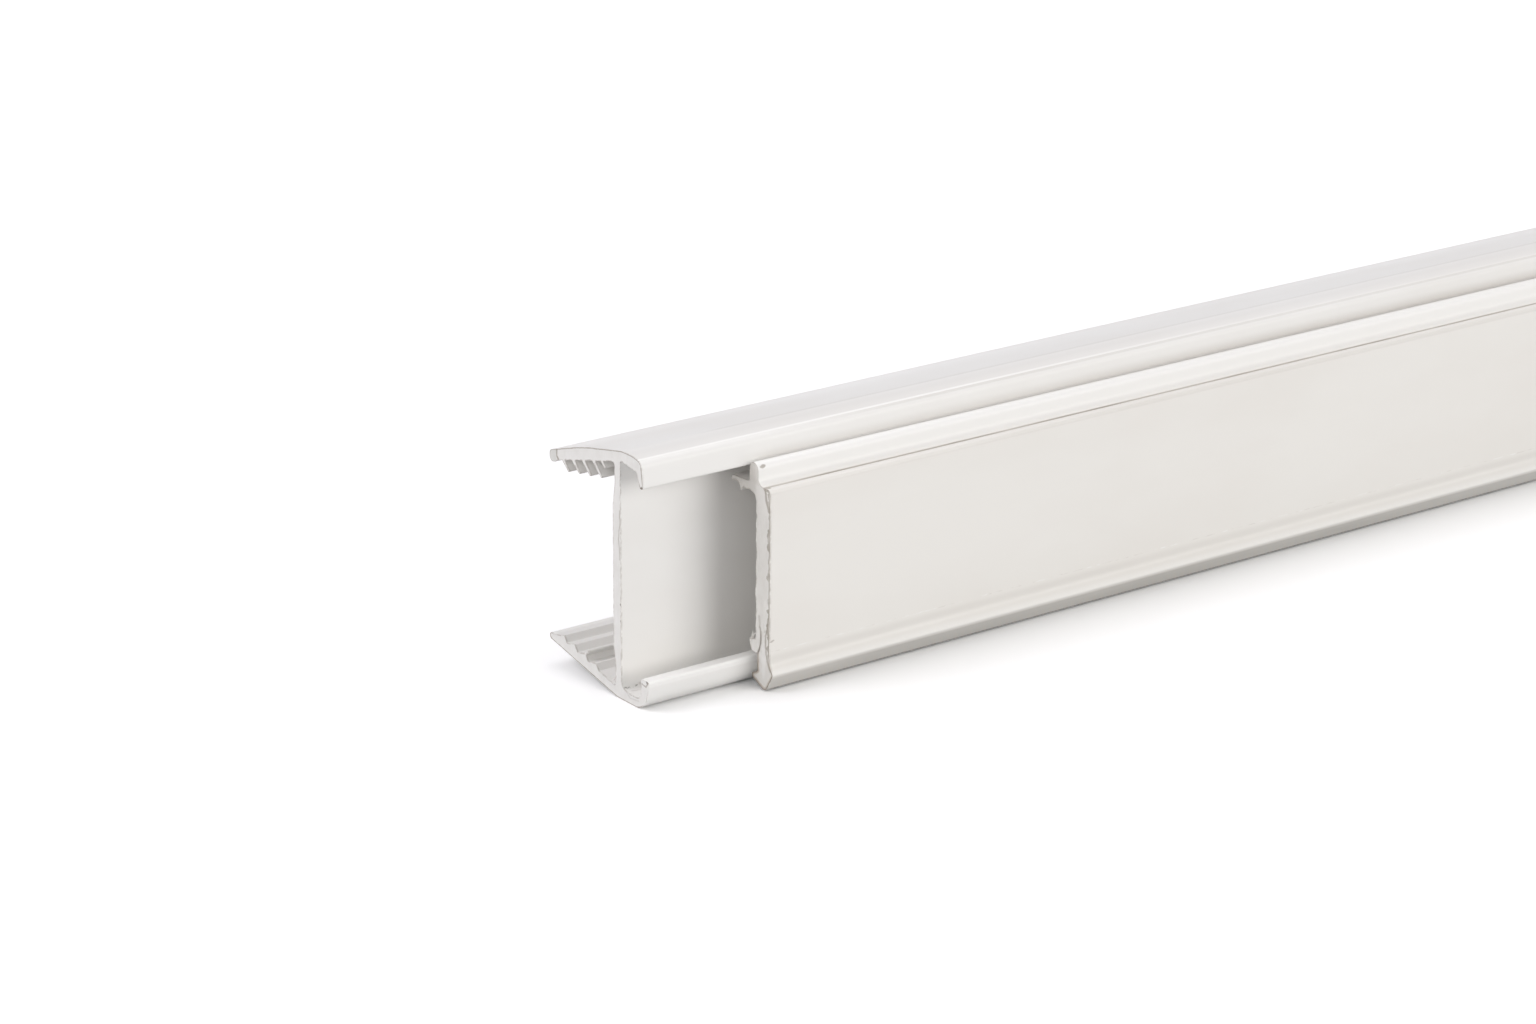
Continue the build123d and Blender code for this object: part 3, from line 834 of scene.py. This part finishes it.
cover_corners = [
    (-bead_front, bead_top, BEAD_ROUND, 0.3),
    (-bead_front, panel_top, BEAD_FOOT_ROUND, 0.3),
    (GROOVE_HALF - groove, panel_top, 0, 0.3),
    (-groove, panel_top - GROOVE_DEEP, GROOVE_ROUND, 0.3),
    (-GROOVE_HALF - groove, panel_top, 0, 0.3),
    (-panel_front, panel_top, PANEL_TOP_ROUND, 0.4),
    (-panel_front, NOSE_TALL + FLARE_TALL, FLARE_ROUND, 0.4),
    (-panel_front - NOSE_OUT, NOSE_TALL, NOSE_ROUND, 0),
    (-FOOT_FRONT, FOOT_CLEAR, FOOT_ROUND, 0.3),
    (-FOOT_REAR, FOOT_CLEAR, FOOT_ROUND, 0.3),
    (-TOE_TIP, TOE_TALL - TOE_EDGE, TOE_ROUND, 0.5),
    (-TOE_TIP, TOE_TALL, TOE_ROUND, 0.5),
    (-NECK_REAR, TOE_TALL + TOE_EDGE, NECK_ROUND, 0.5),
    (-NECK_REAR, HOOK_UNDER - 0.1, 0, 0.3),
    *slit_wall(1),
    *slit_wall(-1)[::-1],
    (-HOOK_TIP - 0.55, HOOK_UNDER + 0.1, HOOK_ROUND, 2.5),
    (-HOOK_TIP - 0.2, HOOK_UNDER + 0.8, HOOK_ROUND, 2.5),
    (-HOOK_TIP - 0.25, hook_top - 0.2, HOOK_ROUND, 2.5),
    (-PANEL_REAR, hook_top + 0.1, 0.2, 1.3),
    (-PANEL_REAR, barb_level, PANEL_REAR_ROUND, 1.3),
    (-BARB - BARB_TALL, barb_level, BARB_ROUND[0], 1.6),
    (-BARB, barb_level - BARB_TALL, BARB_ROUND[1], 1.6),
    (-BARB + BARB_RAMP, arm_under, ARM_ROUND[0], 1.6),
    (-ARM_REACH, arm_under, ARM_ROUND[0], 2.0),
    (-ARM_REACH, arm_top, ARM_ROUND[1], 1.6),
    (-BEAD_REAR, arm_top, ARM_ROUND[1], 0.8),
    (-BEAD_REAR, bead_top, BEAD_ROUND, 0.4),
]


def cover_skin():
    """The cover's drawn faces: a white bead, grime and painted shade in the gutter, painted shade on the
    bead, shoulder, flare and bevel, a painted highlight on the nose, and a scuffed line.
    """
    skin = extruded("cover_skin", "slide_cover", COVER_WHITE, COVER_TONE, 21)
    x, y, z = skin.x, skin.y, skin.z
    away = x.above(-86.0, -40.0)

    # The bead is whiter than the panel. Painted shade dulls its top, which sits under the rail's lip, and
    # its foot.
    skin.stain(z.above(panel_top - 0.1, panel_top + 0.3) * y.below(-4.0, -3.6), BEAD_WHITE)
    skin.stain(z.above(bead_top - 0.35, bead_top - 0.05) * away * 0.08, TAUPE)
    bead_foot = z.above(panel_top - 0.05, panel_top + 0.15) * z.below(panel_top + 0.4, panel_top + 0.8)
    skin.stain(bead_foot * 0.06, TAUPE)

    # Painted shade dulls the highlight on the panel's shoulder. The gutter behind it is darkened by grime
    # and painted shade.
    shoulder_face = z.above(panel_top - 0.55, panel_top - 0.3) * y.below(-groove - 0.1, 0.1 - groove)
    skin.stain(shoulder_face * (0.1 + away * 0.1), TAUPE)
    patchiness = skin.noise(skin.place, 3.0, 3.0, 28.0, (5.0, 1.0, 1.0))
    bottom = panel_top - 0.05
    gutter = skin.line(skin.place, [(-88.0, -groove, bottom), (113.0, -groove, bottom)], 0.27)
    gutter_dirt_and_shade = (0.45 + patchiness.above(0.35, 0.65) * 0.4) * (1 - x.above(-40.0, 20.0) * 0.2)
    skin.stain(gutter * gutter_dirt_and_shade, TAUPE)

    # Three nicks at the near end: on the bead, on the shoulder and above the foot.
    ragged = skin.wander(skin.place, 0.5, 0.35, 6.0)
    nicks = [  # centre, radii and strength
        ((-87.1, -5.3, 22.5), (0.45, 0.5, 0.22), 0.75),
        ((-87.4, -6.45, 20.6), (0.5, 0.35, 0.25), 0.7),
        ((-87.4, -7.2, 5.35), (0.35, 0.3, 0.12), 0.5),
    ]
    for centre, radii, strength in nicks:
        skin.stain(skin.spot(ragged, centre, radii) * strength, TAUPE)

    # Painted shade on the flare under the panel and a painted highlight along its nose, with a scuffed line
    # above.
    streaks = skin.noise(skin.place, 2.5, 3.0, 27.0, (7.0, 1.0, 1.0))
    flare = z.below(3.5, 4.2) * y.below(-7.0, -6.6)
    skin.stain(flare * (0.07 + streaks * 0.1), TAUPE)
    skin.stain(y.below(-7.65, -7.4) * z.above(1.75, 1.95) * 0.35, PALE)
    wavy = skin.wander(skin.place, 3.0, 0.15, 8.0)
    scuffed = skin.line(wavy, [(-88.0, -7.24, 4.25), (113.0, -7.24, 4.25)], 0.1)
    specks = skin.noise(skin.place, 0.5, 2.0, 29.0, (2.5, 1.0, 1.0))
    skin.stain(scuffed * specks.above(0.5, 0.62) * 0.15, TAUPE)
    skin.stain(scuffed * specks.below(0.36, 0.48) * 0.8, PALE)

    # Painted shade greys the bevel under the nose, less so at the near end, and darkens its lower edge as
    # the floor's contact shadow would.
    bevel = z.below(1.5, 1.8) * y.below(-6.5, -6.2)
    fade = 0.22 + x.above(-86.0, -70.0) * 0.15
    skin.stain(bevel * fade * (0.6 + streaks * 0.8), BEVEL_SHADE)
    skin.stain(z.below(0.22, 0.42) * y.below(-6.5, -6.2) * 0.4, GRIME_AND_SHADE)
    return skin.closed(0.006)


def cover_sawn():
    """The cover's cut ends: a torn, dirty front band, smears where the blade dragged, and painted shade on
    the arm and beside the finger's slit.
    """
    cut = sawn("cover_sawn", "slide_cover", COVER_CORE, COVER_CORE_TONE, 31)
    y, z = cut.y, cut.z

    # The band along the front, chalky behind and dirty at the very edge.
    worn = cut.noise(cut.place, 1.1, 3.0, 34.0, (1.0, 8.0, 1.0))
    smudge = cut.noise(cut.place, 0.35, 3.0, 36.0, (1.0, 1.0, 2.0))
    front = y.below(-6.5, -6.1) * z.above(3.0, 4.0)
    width = 0.26 + worn.above(0.4, 0.62) * 0.36
    band = cut.depth.below(width - 0.05, width + 0.1) * front
    cut.stain(band * (0.5 + smudge.above(0.35, 0.65) * 0.4), SMUDGE)
    cut.stain(cut.rim * front * smudge.above(0.5, 0.65) * 0.45, DARK_SMUDGE)
    cut.stain((cut.depth - width).below(0.1, 0.3) * (1 - band) * front * 0.35, CHALK)

    # Painted shade darkens the arm, which lies in the channel's shade. The bead and the foot are greyer
    # than the rest, and the foot's rim is brown.
    cut.stain(y.above(-5.3, -4.4) * z.above(18.8, 19.6) * 0.26, TAUPE)
    foot = z.below(2.6, 3.8)
    cut.stain(foot * 0.1 + z.above(20.5, 21.0) * 0.12, TAUPE)
    cut.stain(cut.depth.below(0.14, 0.34) * foot * 0.65, FOOT_SMUDGE)
    cut.stain(cut.rim * z.below(2.2, 3.0) * 0.7, GRIME_AND_SHADE)

    # A chalky patch beside the foot; painted shade down the finger beside its slit, and dull smears down
    # the front.
    ragged = cut.wander(cut.end_place, 0.6, 0.2, 7.0)
    cut.stain(cut.spot(ragged, (0, -6.2, 3.2), (0.5, 0.45, 2.6)) * 0.5, CHALK)
    streaks = [  # places (y, z) along the mark, its width and its strength
        # The first two lines are painted shade of the slit beside the finger.
        ([(-5.5, 7.4), (-5.62, 6.55), (-5.85, 5.8), (-5.8, 4.9), (-5.4, 3.7)], 0.25, 0.3),
        ([(-5.4, 3.7), (-5.3, 2.7), (-5.0, 2.0)], 0.14, 0.4),
        ([(-6.85, 7.0), (-6.55, 5.8), (-6.5, 4.5), (-6.75, 3.2), (-7.3, 2.3)], 0.2, 0.6),
        ([(-6.3, 20.6), (-6.45, 19.8), (-6.7, 19.1), (-6.95, 18.5)], 0.26, 0.7),
    ]
    for mark, thick, strength in streaks:
        cut.stain(cut.line(ragged, [(0, y, z) for y, z in mark], thick) * strength, TAUPE)
    return cut.closed(0.09)


cover_whiskers = [
    ((-87.6, -4.3, 4.5), (-87.2, -3.9, 5.5), (0.1, 0.15, 0.0), 0.3),
    ((-87.6, -4.4, 4.7), (-87.0, -4.5, 5.4), (0.0, 0.2, 0.1), 0.25),
    ((-87.6, -4.2, 4.4), (-87.4, -3.5, 4.6), (0.1, 0.0, 0.1), 0.35),
    ((-87.6, -4.2, 4.2), (-87.4, -3.6, 4.0), (0.1, 0.0, 0.1), 0.3),
    ((-87.6, -1.3, 20.4), (-87.3, -0.95, 19.9), (0.0, 0.1, 0.1), 0.25),
    ((112.2, -4.2, 4.7), (111.9, -3.9, 5.5), (0.0, 0.15, 0.0), 0.3),
]
cover = drawn_out(
    "slide_cover_profile",
    cover_corners,
    "slide_cover",
    seed=2,
    finishes=(cover_skin(), cover_sawn()),
    relief=0.00012,
    burr=0.0003,
    whiskers=cover_whiskers,
)
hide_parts("slide_cover")
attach(cover, "cover")

# The studio: a sheet of white paper, lit until the picture shows it as plain white, an
# even pale dome, and four wide soft lights round the part.
PAPER_SIDE = 8.0
PAPER_LIT = (1.12, 1.12, 1.12, 1.0)
PAPER_BOUNCE = (0.5, 0.5, 0.5, 1.0)
DOME_STRENGTH = 0.34
SOFTBOXES = (  # name, azimuth, elevation and spread in degrees, strength and colour
    ("front_softbox", 25, 9, 45, 1.66, (1.0, 0.985, 0.965)),
    ("side_softbox", -62, 22, 40, 0.86, (1.0, 1.0, 1.0)),
    ("rear_softbox", -120, 45, 40, 1.28, (0.985, 0.967, 1.01)),
    ("top_softbox", 135, 70, 50, 0.66, (0.985, 0.967, 1.01)),
)
bpy.ops.mesh.primitive_plane_add(size=1)
floor = bpy.context.object
floor.name = "floor"
floor.data.transform(Matrix.Diagonal((PAPER_SIDE, PAPER_SIDE, 1.0, 1.0)))
paper = bpy.data.materials.new("white_paper")
paper.use_nodes = True
nodes = Tree(paper.node_tree)
path = nodes.add("ShaderNodeLightPath")
seen = path.out("Is Camera Ray") + path.out("Is Glossy Ray")
shade = nodes.mix(seen, PAPER_BOUNCE, PAPER_LIT)
paper_shader = paper.node_tree.nodes["Principled BSDF"]
paper_shader.inputs["Roughness"].default_value = 1.0
paper_shader.inputs["Specular IOR Level"].default_value = 0.0
paper.node_tree.links.new(shade.socket, paper_shader.inputs["Base Color"])
floor.data.materials.append(paper)

world = bpy.data.worlds.new("studio")
world.use_nodes = True
dome = world.node_tree.nodes["Background"]
dome.inputs["Color"].default_value = (1, 1, 1, 1)
dome.inputs["Strength"].default_value = DOME_STRENGTH
bpy.context.scene.world = world

for name, azimuth, elevation, spread, strength, colour in SOFTBOXES:
    light = bpy.data.lights.new(name, "SUN")
    light.energy = strength
    light.angle = math.radians(spread)
    light.color = colour
    lamp = bpy.data.objects.new(name, light)
    bpy.context.scene.collection.objects.link(lamp)
    around, up = math.radians(azimuth), math.radians(elevation)
    beam = Vector((-math.sin(around) * math.cos(up), math.cos(around) * math.cos(up), -math.sin(up)))
    lamp.rotation_mode = "QUATERNION"
    lamp.rotation_quaternion = beam.to_track_quat("-Z", "Y")

# The camera: a long lens 0.4 m from the near cut ends, looking down on them by twenty
# degrees and turned round its own axis by a third of a degree.
LENS = 99.1
FILM_WIDTH = 36.0
VIEWPOINT = (-0.3140, -0.30975, 0.15303)
SIGHT = Vector((0.56389, 0.75475, -0.33523))
ROLL = math.radians(-0.36)
lens = bpy.data.cameras.new("camera")
lens.lens = LENS
lens.sensor_width = FILM_WIDTH
lens.clip_start = 0.01
lens.clip_end = 20.0
camera = bpy.data.objects.new("camera", lens)
bpy.context.scene.collection.objects.link(camera)
camera.location = VIEWPOINT
camera.rotation_mode = "QUATERNION"
roll = Matrix.Rotation(ROLL, 4, SIGHT).to_quaternion()
camera.rotation_quaternion = roll @ SIGHT.to_track_quat("-Z", "Y")
bpy.context.scene.camera = camera
bpy.context.scene.view_settings.view_transform = "Standard"
